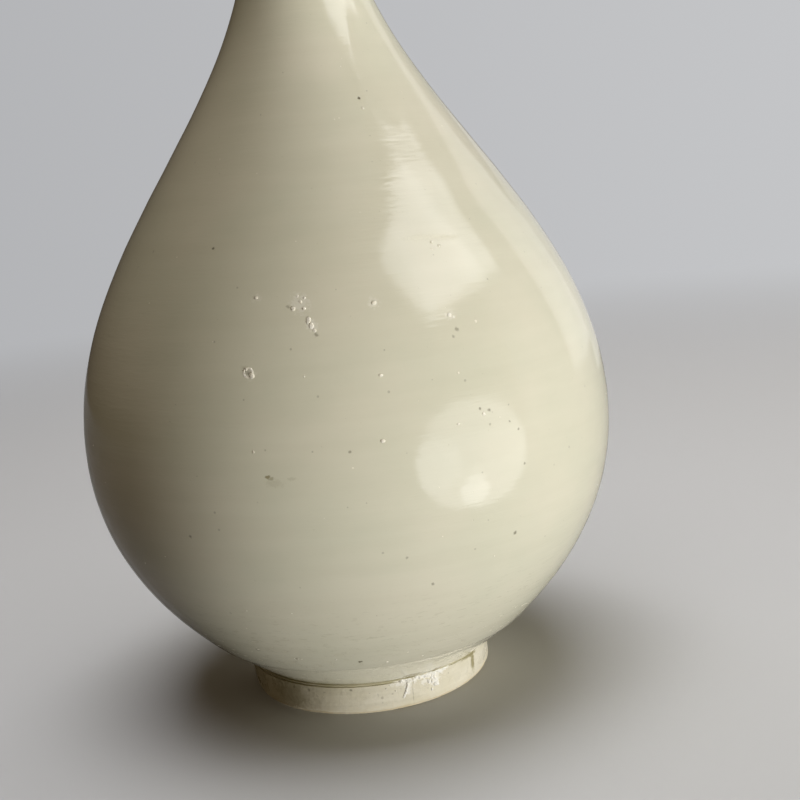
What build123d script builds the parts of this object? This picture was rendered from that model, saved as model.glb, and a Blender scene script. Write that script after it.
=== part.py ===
from build123d import *
from math import cos, radians, sin, tan
import os

# Pear-shaped bottle vase in white-glazed pottery, with a trumpet mouth and a foot ring.
# The body is thrown in three sections that are joined with slip: a lower bowl, an upper
# body and a neck with its mouth. A ring is luted round a low spigot under the bowl, a
# little off the body's axis. Coats of glaze cover the outside, the inside, the foot's wall
# and its recess, and more glaze has pooled in the groove between the body and the ring.
# Millimetres, +Z up. The origin is on the body's axis, in the plane that the vase stands on.

# Foot ring
foot_height = 10.3  # from the table up to the flat underside of the body
ring_radius = 38.2
ring_width = 6.3  # from the recess to the outside, at the table
ring_bevel = 0.6  # both edges at the table
shoulder_bevel = 0.9  # outer edge under the body
recess_lean = 1.4  # the recess is this much narrower at its ceiling
foot_offset = 1.0  # how far the ring sits off the body's axis, towards -X

# Body, from its underside up to its widest line
foot_ledge = 1.2  # the body's underside is this much wider than the ring
foot_slope = 52.7  # degrees from the vertical at which the body leaves its underside
foot_pull = 18.6  # how far the curve keeps that direction
belly_radius = 82.0
belly_rise = 72.9  # from the underside up to the widest line
belly_pull_down = 38.8  # how long the wall stays upright below the widest line
belly_pull_up = 65.4  # and above it

# Neck and mouth
neck_radius = 13.6
neck_rise = 162.8  # from the widest line up to the narrowest
neck_pull_down = 62.4  # how long the neck stays upright below its narrowest line
neck_pull_up = 24.0  # and above it
mouth_radius = 38.5
mouth_rise = 49.6  # from the narrowest line up to the top of the lip
mouth_slope = 30.0  # degrees above the horizontal at the lip
mouth_pull = 17.0  # how long the mouth keeps that direction

# Thickness of the clay
foot_wall = 9.0  # where the body leaves its underside
belly_wall = 4.8
neck_wall = 3.8
lip_thickness = 3.4
base_rise = 3.2  # from the body's underside up to the floor of the cavity
spigot_depth = 3.8  # from the body's underside down to the ceiling of the recess

# Seams between the clay pieces
belly_seam_rise = 12.8  # above the widest line
neck_seam_drop = 40.0  # below the narrowest line
seam_bevel = 35.0  # degrees, so that the sections centre on each other
slip_thickness = 0.6

# Coats of glaze
outer_glaze_thickness = 0.5
inner_glaze_thickness = 0.4
foot_glaze_thickness = 0.4
recess_glaze_thickness = 0.4
wiped_height = 1.2  # the glaze was wiped off the foot up to here

# Crusty beads of thick glaze under the ring's shoulder: degrees round from the front
# towards +X, how far below the shoulder, and radius
crust_beads = [
    (10, 1.1, 0.7),
    (13, 1.3, 0.9),
    (17, 1.1, 0.8),
    (20, 1.2, 1.0),
    (24, 1.1, 0.8),
    (27, 1.2, 0.9),
    (31, 1.1, 0.8),
    (25, 3.6, 1.2),
    (11, 4.8, 0.9),
]
bead_proud = 0.55  # the share of its radius by which a bead stands out of the wall

# Heights that follow from the sizes above
recess_depth = foot_height - spigot_depth
ring_top = foot_height - slip_thickness
shoulder_height = ring_top - shoulder_bevel
floor_height = foot_height + base_rise
belly_height = foot_height + belly_rise
neck_height = belly_height + neck_rise
clay_height = neck_height + mouth_rise

# Radii that follow, round the ring's own axis
recess_radius = ring_radius - ring_width
ceiling_radius = recess_radius - recess_lean
spigot_radius = ceiling_radius - slip_thickness
glazed_ring_radius = ring_radius + foot_glaze_thickness

body_foot_radius = ring_radius + foot_ledge
lip_radius = lip_thickness / 2
ring_axis = Axis((-foot_offset, 0, 0), (0, 0, 1))
beyond = clay_height + mouth_radius + belly_radius  # passes every wall of the vase


def spot(radius, height):
    """A point of the profile, measured from the body's axis."""
    return Vector(radius, 0, height)


def ring_spot(radius, height):
    """A point of the profile, measured from the ring's axis."""
    return Vector(radius - foot_offset, 0, height)


def slope(angle):
    """The way up a wall that stands at this angle above the horizontal."""
    return Vector(cos(radians(angle)), 0, sin(radians(angle)))


def right_of(way):
    """The unit normal to the right of a way, which is outside on the way up the vase."""
    return Vector(way.Z, 0, -way.X).normalized()


lip_way = slope(mouth_slope)
lip_centre = spot(mouth_radius - lip_radius, clay_height - lip_radius)


def offset_curve(points, first, last):
    """A cubic's control points, moved outwards by first at its start and last at its end."""
    sides = [right_of(b - a) for a, b in zip(points, points[1:])]
    corners = [(a + b) / (1 + a.dot(b)) for a, b in zip(sides, sides[1:])]
    return [
        points[0] + sides[0] * first,
        points[1] + corners[0] * first,
        points[2] + corners[1] * last,
        points[3] + sides[2] * last,
    ]


def body_curves():
    """Control points of the clay's outside: the bowl, the shoulder and neck, the mouth."""
    foot = spot(body_foot_radius, foot_height)
    belly = spot(belly_radius, belly_height)
    neck = spot(neck_radius, neck_height)
    lip = lip_centre + right_of(lip_way) * lip_radius
    up = slope(90)
    bowl = [foot, foot + slope(90 - foot_slope) * foot_pull, belly - up * belly_pull_down, belly]
    shoulder = [belly, belly + up * belly_pull_up, neck - up * neck_pull_down, neck]
    mouth = [neck, neck + up * neck_pull_up, lip - lip_way * mouth_pull, lip]
    return bowl, shoulder, mouth


def outside(cover):
    """Edges of the outside, from the underside to the lip, under a coat this thick."""
    bowl, shoulder, mouth = [offset_curve(part, cover, cover) for part in body_curves()]
    run_out = cover / cos(radians(foot_slope))
    bowl[0] = spot(body_foot_radius + run_out, foot_height)  # cut level with the underside
    return [Bezier(*bowl), Bezier(*shoulder), Bezier(*mouth)]


def inside(cover):
    """Edges of the cavity, from the axis to the lip, under a coat this thick."""
    bowl, shoulder, mouth = body_curves()
    bowl = offset_curve(bowl, -foot_wall - cover, -belly_wall - cover)
    shoulder = offset_curve(shoulder, -belly_wall - cover, -neck_wall - cover)
    mouth = offset_curve(mouth, -neck_wall - cover, -lip_thickness - cover)
    floor = floor_height + cover
    # The arc leaves the flat floor where it can meet the wall without a corner
    arc_reach = (bowl[0].Z - floor) / tan(radians((90 - foot_slope) / 2))
    arc_start = spot(bowl[0].X - arc_reach, floor)
    return [
        Edge.make_line(spot(0, floor), arc_start),
        TangentArc(arc_start, bowl[0], tangent=(1, 0, 0)),
        Bezier(*bowl),
        Bezier(*shoulder),
        Bezier(*mouth),
    ]


def lip(cover):
    """The half round over the lip, under a coat this thick."""
    radius = lip_radius + cover
    outer = lip_centre + right_of(lip_way) * radius
    inner = lip_centre - right_of(lip_way) * radius
    return ThreePointArc(outer, lip_centre + lip_way * radius, inner)


def chain(*corners):
    """Straight edges through the corners."""
    return [Edge.make_line(a, b) for a, b in zip(corners, corners[1:])]


def turned(edges, axis=Axis.Z):
    """The solid that a closed outline makes when it is turned about the axis."""
    return revolve(make_face(Wire.combine(edges)[0]), axis)


def turned_ring(*corners):
    """A solid turned about the ring's axis, from the corners of its section."""
    return turned(chain(*corners, corners[0]), ring_axis)


def clay_wall():
    """The clay body before it is parted at its seams, with a flat underside."""
    outer = outside(0)
    inner = inside(0)
    underside = chain(inner[0] @ 0, spot(0, foot_height), outer[0] @ 0)
    return turned(outer + [lip(0)] + inner + underside)


def space_above(height, radius, tilt):
    """All space above a cone that passes through this height at this radius."""
    rise = tan(radians(tilt))
    corners = [
        spot(0, height - radius * rise),
        spot(beyond, height + (beyond - radius) * rise),
        spot(beyond, height + beyond),
        spot(0, height + beyond),
    ]
    return turned(chain(*corners, corners[0]))


def body_sections():
    """The three clay sections and the slip in the two seams between them."""
    wall = clay_wall()
    belly_seam = belly_height + belly_seam_rise
    neck_seam = neck_height - neck_seam_drop
    above_bowl = space_above(belly_seam, belly_radius, -seam_bevel)
    above_belly_slip = space_above(belly_seam + slip_thickness, belly_radius, -seam_bevel)
    above_body = space_above(neck_seam, neck_radius, seam_bevel)
    above_neck_slip = space_above(neck_seam + slip_thickness, neck_radius, seam_bevel)
    return {
        "lower_bowl": wall - above_bowl + spigot(),
        "belly_seam_slip": (wall & above_bowl) - above_belly_slip,
        "upper_body": (wall & above_belly_slip) - above_body,
        "neck_seam_slip": (wall & above_body) - above_neck_slip,
        "neck_and_mouth": wall & above_neck_slip,
    }


def spigot():
    """The low boss under the bowl that the ring is luted round."""
    return turned_ring(
        ring_spot(0, recess_depth),
        ring_spot(spigot_radius, recess_depth),
        ring_spot(spigot_radius, foot_height),
        ring_spot(0, foot_height),
    )


def foot_ring():
    """The ring that the vase stands on."""
    return turned_ring(
        ring_spot(recess_radius + ring_bevel, 0),
        ring_spot(ring_radius - ring_bevel, 0),
        ring_spot(ring_radius, ring_bevel),
        ring_spot(ring_radius, shoulder_height),
        ring_spot(ring_radius - shoulder_bevel, ring_top),
        ring_spot(ceiling_radius, ring_top),
        ring_spot(ceiling_radius, recess_depth),
        ring_spot(recess_wall(ring_bevel), ring_bevel),
    )


def recess_wall(height):
    """Radius of the recess at a height."""
    return recess_radius - recess_lean * height / recess_depth


def foot_slip():
    """The slip over the ring and round the spigot."""
    outer = ring_radius - shoulder_bevel
    return turned_ring(
        ring_spot(spigot_radius, recess_depth),
        ring_spot(ceiling_radius, recess_depth),
        ring_spot(ceiling_radius, ring_top),
        ring_spot(outer, ring_top),
        ring_spot(outer, foot_height),
        ring_spot(spigot_radius, foot_height),
    )


def outer_glaze():
    """The coat on the body, neck and mouth, over the lip to the inner coat."""
    clay = outside(0)
    coat = outside(outer_glaze_thickness)
    clay_lip = lip(0)
    coat_lip = lip(outer_glaze_thickness)
    ends = chain(clay[0] @ 0, coat[0] @ 0) + chain(clay_lip @ 1, coat_lip @ 1)
    return turned(clay + [clay_lip] + coat + [coat_lip] + ends)


def inner_glaze():
    """The coat that was poured round the cavity, from its floor up to the lip."""
    clay = inside(0)
    coat = inside(inner_glaze_thickness)
    ends = chain(clay[0] @ 0, coat[0] @ 0) + chain(clay[-1] @ 1, coat[-1] @ 1)
    return turned(clay + coat + ends)


def foot_glaze():
    """The coat on the ring's outside, from the wiped edge up to the pooled glaze."""
    return turned_ring(
        ring_spot(ring_radius, wiped_height),
        ring_spot(glazed_ring_radius, wiped_height),
        ring_spot(glazed_ring_radius, shoulder_height),
        ring_spot(ring_radius, shoulder_height),
    )


def pooled_glaze():
    """The glaze that ran down the body and filled the groove over the ring."""
    glazed_edge = outside(outer_glaze_thickness)[0] @ 0
    at_ring = Plane((-foot_offset, 0, shoulder_height)) * Circle(glazed_ring_radius)
    at_body = Plane((0, 0, foot_height)) * Circle(glazed_edge.X)
    groove = loft([at_ring, at_body], ruled=True)
    return groove - spigot() - foot_ring() - foot_slip()


def recess_glaze():
    """The thin coat on the ceiling and the wall of the recess."""
    coat = recess_glaze_thickness
    return turned_ring(
        ring_spot(0, recess_depth),
        ring_spot(ceiling_radius, recess_depth),
        ring_spot(recess_wall(wiped_height), wiped_height),
        ring_spot(recess_wall(wiped_height) - coat, wiped_height),
        ring_spot(recess_wall(recess_depth - coat) - coat, recess_depth - coat),
        ring_spot(0, recess_depth - coat),
    )


def glaze_crust():
    """The beads of thick glaze on the ring's wall, as separate solids."""
    ring = turned_ring(
        ring_spot(0, 0),
        ring_spot(glazed_ring_radius, 0),
        ring_spot(glazed_ring_radius, foot_height),
        ring_spot(0, foot_height),
    )
    beads = []
    for angle, drop, radius in crust_beads:
        out = glazed_ring_radius - radius * (1 - bead_proud)
        centre = Vector(out * sin(radians(angle)), -out * cos(radians(angle)), 0)
        centre += ring_spot(0, shoulder_height - drop)
        beads += (Pos(centre) * Sphere(radius) - ring).solids()
    return Compound(children=beads)


pieces = body_sections()
pieces["foot_ring"] = foot_ring()
pieces["foot_slip"] = foot_slip()
pieces["outer_glaze"] = outer_glaze()
pieces["inner_glaze"] = inner_glaze()
pieces["foot_glaze"] = foot_glaze()
pieces["pooled_glaze"] = pooled_glaze()
pieces["recess_glaze"] = recess_glaze()
pieces["glaze_crust"] = glaze_crust()

os.makedirs("parts", exist_ok=True)
for name, shape in pieces.items():
    export_step(shape, f"parts/{name}.step")
    print(name, "solids", len(shape.solids()), "mm3", round(shape.volume))
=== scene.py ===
# %% [markdown]
# A pear-shaped bottle vase in ivory glaze.
# The real vase is one fired pot, built from thrown clay sections that are joined with slip,
# stood on a separate foot ring and covered with several coats of glaze. The clay lies inside,
# so the coats are what the eye meets, and most of this lesson is about them. The construction
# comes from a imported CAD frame, and every piece here is made round it in the same place.

# %% Load the frame
import random
from math import cos, pi, radians, sin, sqrt, tan, tau

import bpy
from mathutils import Matrix, Vector


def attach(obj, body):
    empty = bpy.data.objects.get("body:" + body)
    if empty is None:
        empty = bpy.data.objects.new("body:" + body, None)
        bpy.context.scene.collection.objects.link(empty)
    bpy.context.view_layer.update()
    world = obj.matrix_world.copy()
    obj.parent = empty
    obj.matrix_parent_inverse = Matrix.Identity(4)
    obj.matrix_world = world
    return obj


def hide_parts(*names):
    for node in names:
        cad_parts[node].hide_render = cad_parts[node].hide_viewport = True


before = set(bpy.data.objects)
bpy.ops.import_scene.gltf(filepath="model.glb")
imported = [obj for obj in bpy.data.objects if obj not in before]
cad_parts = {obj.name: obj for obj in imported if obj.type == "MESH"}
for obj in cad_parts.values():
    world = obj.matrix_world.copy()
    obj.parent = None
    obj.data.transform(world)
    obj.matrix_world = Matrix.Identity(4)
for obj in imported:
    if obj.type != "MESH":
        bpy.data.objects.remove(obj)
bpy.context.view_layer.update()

MM = 0.001
print("CAD nodes:", ", ".join(sorted(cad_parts)))

# %% [markdown]
# The camera stands a little above the belly, close to the pot, turned slightly to the right
# and leaning six degrees to one side. A real picture can be matched by drawing the outline
# over it, but here the lens and the place were worked out from how wide the belly looks
# beside the foot and the neck, because only one distance gives all three.

# %% Camera
CAMERA_PLACE = Vector((0.0, -0.3636, 0.1561))
CAMERA_DOWN = radians(10.64)
CAMERA_RIGHT = radians(2.67)
CAMERA_LEAN = radians(5.90)
LENS_MM = 51.75
SENSOR_MM = 36.0


def camera_turn():
    """Level and facing +Y at first, then leaning, then down, then to the right."""
    level = Matrix.Rotation(pi / 2, 3, "X")
    lean = Matrix.Rotation(-CAMERA_LEAN, 3, "Z")
    down = Matrix.Rotation(-CAMERA_DOWN, 3, "X")
    right = Matrix.Rotation(-CAMERA_RIGHT, 3, "Z")
    return right @ down @ level @ lean


bpy.ops.object.camera_add(location=CAMERA_PLACE, rotation=camera_turn().to_euler())
camera = bpy.context.object
camera.data.lens = LENS_MM
camera.data.sensor_width = SENSOR_MM
camera.data.clip_start = 0.01
bpy.context.scene.camera = camera
print("the camera looks along", [round(v, 3) for v in camera_turn() @ Vector((0, 0, -1))])

# %% [markdown]
# A pot's surface is an outline turned about an axis. The outline here is a few Bezier
# strokes, the same curves that the clay was drawn with, moved outwards by the thickness
# of the coat. Drawn strokes stay smooth at any size, which glossy glaze needs, because a
# reflection shows the smallest kink. The sizes repeat those of the clay pieces.

# %% Sizes of the clay
FOOT_HEIGHT = 10.3 * MM
FOOT_EDGE = 39.4 * MM
FOOT_SLOPE = radians(37.3)
FOOT_PULL = 18.6 * MM
BELLY_RADIUS = 82.0 * MM
BELLY_HEIGHT = 83.2 * MM
BELLY_PULL_DOWN = 38.8 * MM
BELLY_PULL_UP = 65.4 * MM
NECK_RADIUS = 13.6 * MM
NECK_HEIGHT = 246.0 * MM
NECK_PULL_DOWN = 62.4 * MM
NECK_PULL_UP = 24.0 * MM
MOUTH_RADIUS = 38.5 * MM
MOUTH_SLOPE = radians(30.0)
MOUTH_PULL = 17.0 * MM
CLAY_HEIGHT = 295.6 * MM
LIP_RADIUS = 1.7 * MM
FLOOR_HEIGHT = 13.5 * MM
WALL_AT_FOOT = 9.0 * MM
WALL_AT_BELLY = 4.8 * MM
WALL_AT_NECK = 3.8 * MM
OUTER_COAT = 0.5 * MM
INNER_COAT = 0.4 * MM

# %% The clay's outline
def spot(radius, height):
    """A point of an outline, in the XZ plane."""
    return Vector((radius, 0, height))


def right_of(way):
    """The unit normal to the right of a way, which is outside on the way up."""
    return Vector((way.z, 0, -way.x)).normalized()


LIP_WAY = spot(cos(MOUTH_SLOPE), sin(MOUTH_SLOPE))
LIP_SIDE = right_of(LIP_WAY)
LIP_CENTRE = spot(MOUTH_RADIUS - LIP_RADIUS, CLAY_HEIGHT - LIP_RADIUS)


def body_points():
    """Control points of the clay's outside: bowl, shoulder with neck, and mouth."""
    foot = spot(FOOT_EDGE, FOOT_HEIGHT)
    belly = spot(BELLY_RADIUS, BELLY_HEIGHT)
    neck = spot(NECK_RADIUS, NECK_HEIGHT)
    lip = LIP_CENTRE + LIP_SIDE * LIP_RADIUS
    leaving = spot(cos(FOOT_SLOPE), sin(FOOT_SLOPE)) * FOOT_PULL
    bowl = [foot, foot + leaving, belly - spot(0, BELLY_PULL_DOWN), belly]
    shoulder = [belly, belly + spot(0, BELLY_PULL_UP), neck - spot(0, NECK_PULL_DOWN), neck]
    mouth = [neck, neck + spot(0, NECK_PULL_UP), lip - LIP_WAY * MOUTH_PULL, lip]
    return bowl, shoulder, mouth


def moved_out(points, first, last):
    """A stroke moved outwards by first at its start and by last at its end."""
    sides = [right_of(b - a) for a, b in zip(points, points[1:])]
    corners = [(a + b) / (1 + a.dot(b)) for a, b in zip(sides, sides[1:])]
    return [
        points[0] + sides[0] * first,
        points[1] + corners[0] * first,
        points[2] + corners[1] * last,
        points[3] + sides[2] * last,
    ]


print("the outline has", len(body_points()), "strokes on the outside")

# %% [markdown]
# Every piece is worked on in the same way: everything else is deselected, the work is done
# in edit mode, and at the end doubles are merged and the faces are turned outwards. These
# small helpers keep those steps in one place.

# %% Workbench helpers
def only(piece):
    """Selects one piece and nothing else."""
    bpy.ops.object.select_all(action="DESELECT")
    piece.select_set(True)
    bpy.context.view_layer.objects.active = piece


def join(pieces, name):
    """Joins pieces into one, under a new name."""
    only(pieces[0])
    for piece in pieces:
        piece.select_set(True)
    bpy.ops.object.join()
    joined = bpy.context.object
    joined.name = joined.data.name = name
    return joined


def clean(piece, merge=0.5e-6):
    """Merges doubles and turns all faces outwards."""
    only(piece)
    bpy.ops.object.mode_set(mode="EDIT")
    bpy.ops.mesh.select_all(action="SELECT")
    bpy.ops.mesh.remove_doubles(threshold=merge)
    bpy.ops.mesh.normals_make_consistent(inside=False)
    bpy.ops.object.mode_set(mode="OBJECT")


def copy_of(pattern, place, turn, scale):
    """A copy of a small form with its own mesh, at a place, turned and scaled."""
    twin = pattern.copy()
    twin.data = pattern.data.copy()
    bpy.context.scene.collection.objects.link(twin)
    twin.location, twin.rotation_euler, twin.scale = place, turn, scale
    return twin


def gathered(copies, pattern, name):
    """Joins copies of a pattern into one piece at the origin and removes the pattern."""
    bpy.data.objects.remove(pattern)
    piece = join(copies, name)
    bpy.ops.object.transform_apply(location=True, rotation=True, scale=True)
    return piece


def finish(piece, sharp=60):
    """Smooth shading, apart from edges sharper than this many degrees."""
    only(piece)
    bpy.ops.object.shade_smooth_by_angle(angle=radians(sharp))
    size = [round(v / MM, 1) for v in piece.dimensions]
    print(piece.name, "has", len(piece.data.polygons), "faces and measures", size, "mm")
    return piece


# %% Strokes
def stroke(points, rows):
    """A Bezier stroke through four control points, as a chain of this many edges."""
    bpy.ops.object.select_all(action="DESELECT")
    bpy.ops.curve.primitive_bezier_curve_add()
    curve = bpy.context.object
    curve.data.resolution_u = rows
    start, end = curve.data.splines[0].bezier_points
    for knot in (start, end):
        knot.handle_left_type = knot.handle_right_type = "FREE"
    start.co, start.handle_right, end.handle_left, end.co = points
    start.handle_left, end.handle_right = start.co, end.co
    bpy.ops.object.convert(target="MESH")
    return bpy.context.object


def line(start, end, rows=1):
    """A straight stroke."""
    return stroke([start, start.lerp(end, 1 / 3), start.lerp(end, 2 / 3), end], rows)


def quarter(centre, start, end, rows):
    """A quarter round about a centre."""
    pull = 0.5523
    out, up = start - centre, end - centre
    return stroke([start, start + up * pull, end + out * pull, end], rows)


# %% [markdown]
# Turning an outline is what a potter's wheel does. The Spin tool can do it in edit mode, but
# with hundreds of steps it is slow, so a Screw modifier without any rise sweeps the chain
# of edges a full turn about Z. Merging the doubles closes the seam where the turn ends and
# the pole on the axis.

# %% Turn an outline
def turned(strokes, name, sectors):
    """Joins strokes and sweeps them a full turn about Z."""
    outline = join(strokes, name)
    bpy.ops.object.mode_set(mode="EDIT")
    bpy.ops.mesh.select_all(action="SELECT")
    bpy.ops.mesh.remove_doubles(threshold=0.5e-6)
    bpy.ops.object.mode_set(mode="OBJECT")
    wheel = outline.modifiers.new("wheel", "SCREW")
    wheel.angle = tau
    wheel.steps = wheel.render_steps = sectors
    wheel.use_merge_vertices = True
    wheel.merge_threshold = 1e-6
    bpy.ops.object.modifier_apply(modifier=wheel.name)
    clean(outline)
    return outline


def weighted(piece, name, weight):
    """A vertex group whose weights come from each point's place."""
    group = piece.vertex_groups.new(name=name)
    for point in piece.data.vertices:
        group.add([point.index], min(1.0, max(0.0, weight(point.co))), "REPLACE")
    return name


def uneven(piece, size, depth, group="", level=1.0, direction="NORMAL"):
    """Presses clouds of this size and depth into a surface with a Displace modifier."""
    cloud = bpy.data.textures.new(piece.name + " unevenness", "CLOUDS")
    cloud.noise_scale = size
    cloud.noise_depth = 1
    modifier = piece.modifiers.new("unevenness", "DISPLACE")
    modifier.texture = cloud
    modifier.strength = depth
    modifier.mid_level = level
    modifier.direction = direction
    modifier.vertex_group = group
    only(piece)
    bpy.ops.object.modifier_apply(modifier=modifier.name)
    bpy.data.textures.remove(cloud)


def pushed(piece, name, weight, distance, direction="NORMAL"):
    """Moves a surface by a distance times a weight that comes from each point's place."""
    modifier = piece.modifiers.new(name, "DISPLACE")
    modifier.strength = distance
    modifier.mid_level = 0
    modifier.direction = direction
    modifier.vertex_group = weighted(piece, name, weight)
    only(piece)
    bpy.ops.object.modifier_apply(modifier=modifier.name)


# %% [markdown]
# The outer coat is the vase that one sees. It is a closed skin half a millimetre thick,
# with a finely divided face, a round lip and a coarser back that lies on the clay. Before
# the outline is spun, its points are moved by the shallow waves that a potter's fingers
# leave, a few hundredths of a millimetre deep, so the waves run round the pot. Near the
# foot the bowl was trimmed with a tool, which left one crisp edge.

# %% Waves and the trimmed edge
def between(stations, place):
    """Straight interpolation in a list of (place, value) stations."""
    if place <= stations[0][0]:
        return stations[0][1]
    for (a, low), (b, high) in zip(stations, stations[1:]):
        if place <= b:
            return low + (high - low) * (place - a) / (b - a)
    return stations[-1][1]


WAVE_STRENGTH = [(14, 0.0), (26, 1.0), (70, 0.55), (110, 0.5), (150, 1.0), (205, 0.6),
                 (262, 0.8), (288, 0.0)]
TRIMMED = [(10.3, -0.62), (15, -0.48), (19.4, -0.22), (20.6, 0.26), (22.5, 0.22), (36, 0.0)]


def finger_wave(height):
    """How far the wall stands in or out at a height, in metres."""
    z = height / MM
    broad = sin(tau * z / 17.1 + 1.3 * sin(tau * z / 83)) - 1
    close = sin(tau * z / 6.9 + 2.1 * sin(tau * z / 47)) - 1
    strength = between(WAVE_STRENGTH, z)
    return (strength * (0.028 * broad + 0.007 * close) + between(TRIMMED, z)) * MM


def thrown(chain, wave):
    """Moves the points of a stroke in or out by a wave."""
    for point in chain.data.vertices:
        point.co.x += wave(point.co.z)
    return chain


print("waves at the belly:", round(finger_wave(BELLY_HEIGHT) / MM, 3), "mm")

# %% Outer coat
AROUND = 256
FACE_ROWS = (84, 144, 54)
BACK_ROWS = (12, 16, 8)
LIP_ROWS = 6


def outside_points(cover):
    """The outside's control points under a coat that is cut level at the underside."""
    bowl, shoulder, mouth = [moved_out(part, cover, cover) for part in body_points()]
    bowl[0] = spot(FOOT_EDGE + cover / sin(FOOT_SLOPE), FOOT_HEIGHT)
    return bowl, shoulder, mouth


def lip_strokes(outer, inner):
    """The half round over the lip, for a cover outside and a cover inside."""
    out = LIP_SIDE * (LIP_RADIUS + outer)
    crest = LIP_CENTRE + LIP_WAY * (LIP_RADIUS + outer)
    back = LIP_SIDE * (LIP_RADIUS + inner)
    return [
        quarter(LIP_CENTRE, LIP_CENTRE + out, crest, LIP_ROWS),
        quarter(LIP_CENTRE, crest, LIP_CENTRE - back, LIP_ROWS),
    ]


def make_outer_coat():
    """The ivory coat on the body, neck and mouth, over the lip to the inner coat."""
    face, back = outside_points(OUTER_COAT), outside_points(0)
    strokes = [thrown(stroke(p, rows), finger_wave) for p, rows in zip(face, FACE_ROWS)]
    strokes += [stroke(p, rows) for p, rows in zip(back, BACK_ROWS)]
    strokes += lip_strokes(OUTER_COAT, INNER_COAT) + lip_strokes(0, 0)
    inside = LIP_CENTRE - LIP_SIDE * LIP_RADIUS
    strokes.append(line(inside, inside - LIP_SIDE * INNER_COAT))
    strokes.append(line(back[0][0], face[0][0] + spot(finger_wave(FOOT_HEIGHT), 0)))
    return turned(strokes, "ivory_outer_coat", AROUND)


outer_coat = make_outer_coat()

# %% [markdown]
# A hand-thrown pot is never quite round. A cloud texture presses the face in by up to a
# fifth of a millimetre, which no rule would show but every reflection does. It only works
# on the face, through a vertex group, so the back stays on the clay. A few shallow dents
# where a finger touched the wet wall are pressed in by a second modifier, and its group
# holds how deep each point goes.

# %% Unevenness and dents
def clay_radius(height):
    """The clay's radius at a height, found by halving along its strokes."""
    for p in body_points():
        if height <= p[3].z:
            low, high = 0.0, 1.0
            for _ in range(30):
                t = (low + high) / 2
                place = bezier(p, t)
                low, high = (t, high) if place.z < height else (low, t)
            return place.x
    return MOUTH_RADIUS


def bezier(p, t):
    """The point of a Bezier stroke at a share of its way."""
    s = 1 - t
    return p[0] * s**3 + p[1] * (3 * s * s * t) + p[2] * (3 * s * t * t) + p[3] * t**3


def face_weight(point):
    """1 on the face of the coat, fading out at its lower edge and at the lip."""
    proud = Vector((point.x, point.y)).length - clay_radius(point.z)
    if proud < 0.2 * MM:
        return 0
    foot = (point.z - FOOT_HEIGHT) / (4 * MM)
    lip = (LIP_CENTRE.z - 4 * MM - point.z) / (8 * MM)
    return min(1, foot, lip)


def around(angle, radius, height):
    """The place at an angle from the front towards +X, a radius and a height."""
    return Vector((radius * sin(radians(angle)), -radius * cos(radians(angle)), height))


DEEPEST = 0.10 * MM
DENTS = [  # angle, height, reach across, reach up, share of the deepest
    (22, 141.3, 13, 2.6, 0.55), (29, 134, 7, 6, 0.4), (25, 151, 8, 3, 0.35), (16, 62, 14, 12, 0.6),
    (-44, 120, 18, 18, 0.9), (70, 96, 20, 16, 0.7), (140, 74, 16, 16, 0.9), (-120, 150, 15, 15, 0.8),
    (205, 110, 22, 18, 0.7), (12, 112, 9, 4, 0.35), (-12, 92, 12, 3, 0.35), (36, 104, 8, 6, 0.5),
]


def dent_weight(point):
    """How strongly the dents press a point of the face, from 0 to 1."""
    weight = 0
    for centre, across, up, share in DENT_PLACES:
        away = point - centre
        level = Vector((away.x, away.y)).length / across
        far = sqrt(level * level + (away.z / up) ** 2)
        if far < 1:
            weight += share * (0.5 + 0.5 * cos(pi * far))
    return weight


DENT_PLACES = [
    (around(angle, clay_radius(height * MM), height * MM), across * MM, up * MM, share)
    for angle, height, across, up, share in DENTS
]
uneven(outer_coat, 0.052, 0.17 * MM, group=weighted(outer_coat, "face", face_weight))
pushed(outer_coat, "dents", lambda p: dent_weight(p) if face_weight(p) > 0 else 0, -DEEPEST)
finish(outer_coat)

# %% [markdown]
# The inner coat was poured in and swilled round. It is seen through the mouth, where the
# fingers left stronger rings than on the outside, because nobody smooths the inside of a
# bottle. It is the same outline moved inwards by the wall, which thins from the foot to the
# lip, with a small round where the wall meets the floor.

# %% Cavity coat
CAVITY_ROWS = (6, 8, 40, 84, 40)
CAVITY_BACK_ROWS = (2, 4, 8, 12, 8)
INNER_RINGS = [(18, 0.0), (34, 1.0), (215, 0.8), (255, 0.55), (280, 0.35), (290, 0.0)]


def cavity_points(cover):
    """Control points of the cavity, from the axis to the lip, under a coat this thick."""
    bowl, shoulder, mouth = body_points()
    bowl = moved_out(bowl, -WALL_AT_FOOT - cover, -WALL_AT_BELLY - cover)
    shoulder = moved_out(shoulder, -WALL_AT_BELLY - cover, -WALL_AT_NECK - cover)
    mouth = moved_out(mouth, -WALL_AT_NECK - cover, -2 * LIP_RADIUS - cover)
    floor = FLOOR_HEIGHT + cover
    rise = bowl[0].z - floor
    start = spot(bowl[0].x - rise / tan(FOOT_SLOPE / 2), floor)
    pull = 4 / 3 * tan(FOOT_SLOPE / 4) * rise / (1 - cos(FOOT_SLOPE))
    arriving = (bowl[1] - bowl[0]).normalized()
    corner = [start, start + spot(pull, 0), bowl[0] - arriving * pull, bowl[0]]
    axis = spot(0, floor)
    flat = [axis, axis.lerp(start, 1 / 3), axis.lerp(start, 2 / 3), start]
    return flat, corner, bowl, shoulder, mouth


def finger_rings(height):
    """The rings inside, which stand in from the wall, in metres."""
    z = height / MM
    ring = sin(tau * z / 7.3 + 1.7 * sin(tau * z / 61)) + 1
    return -0.11 * ring * between(INNER_RINGS, z) * MM


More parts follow.
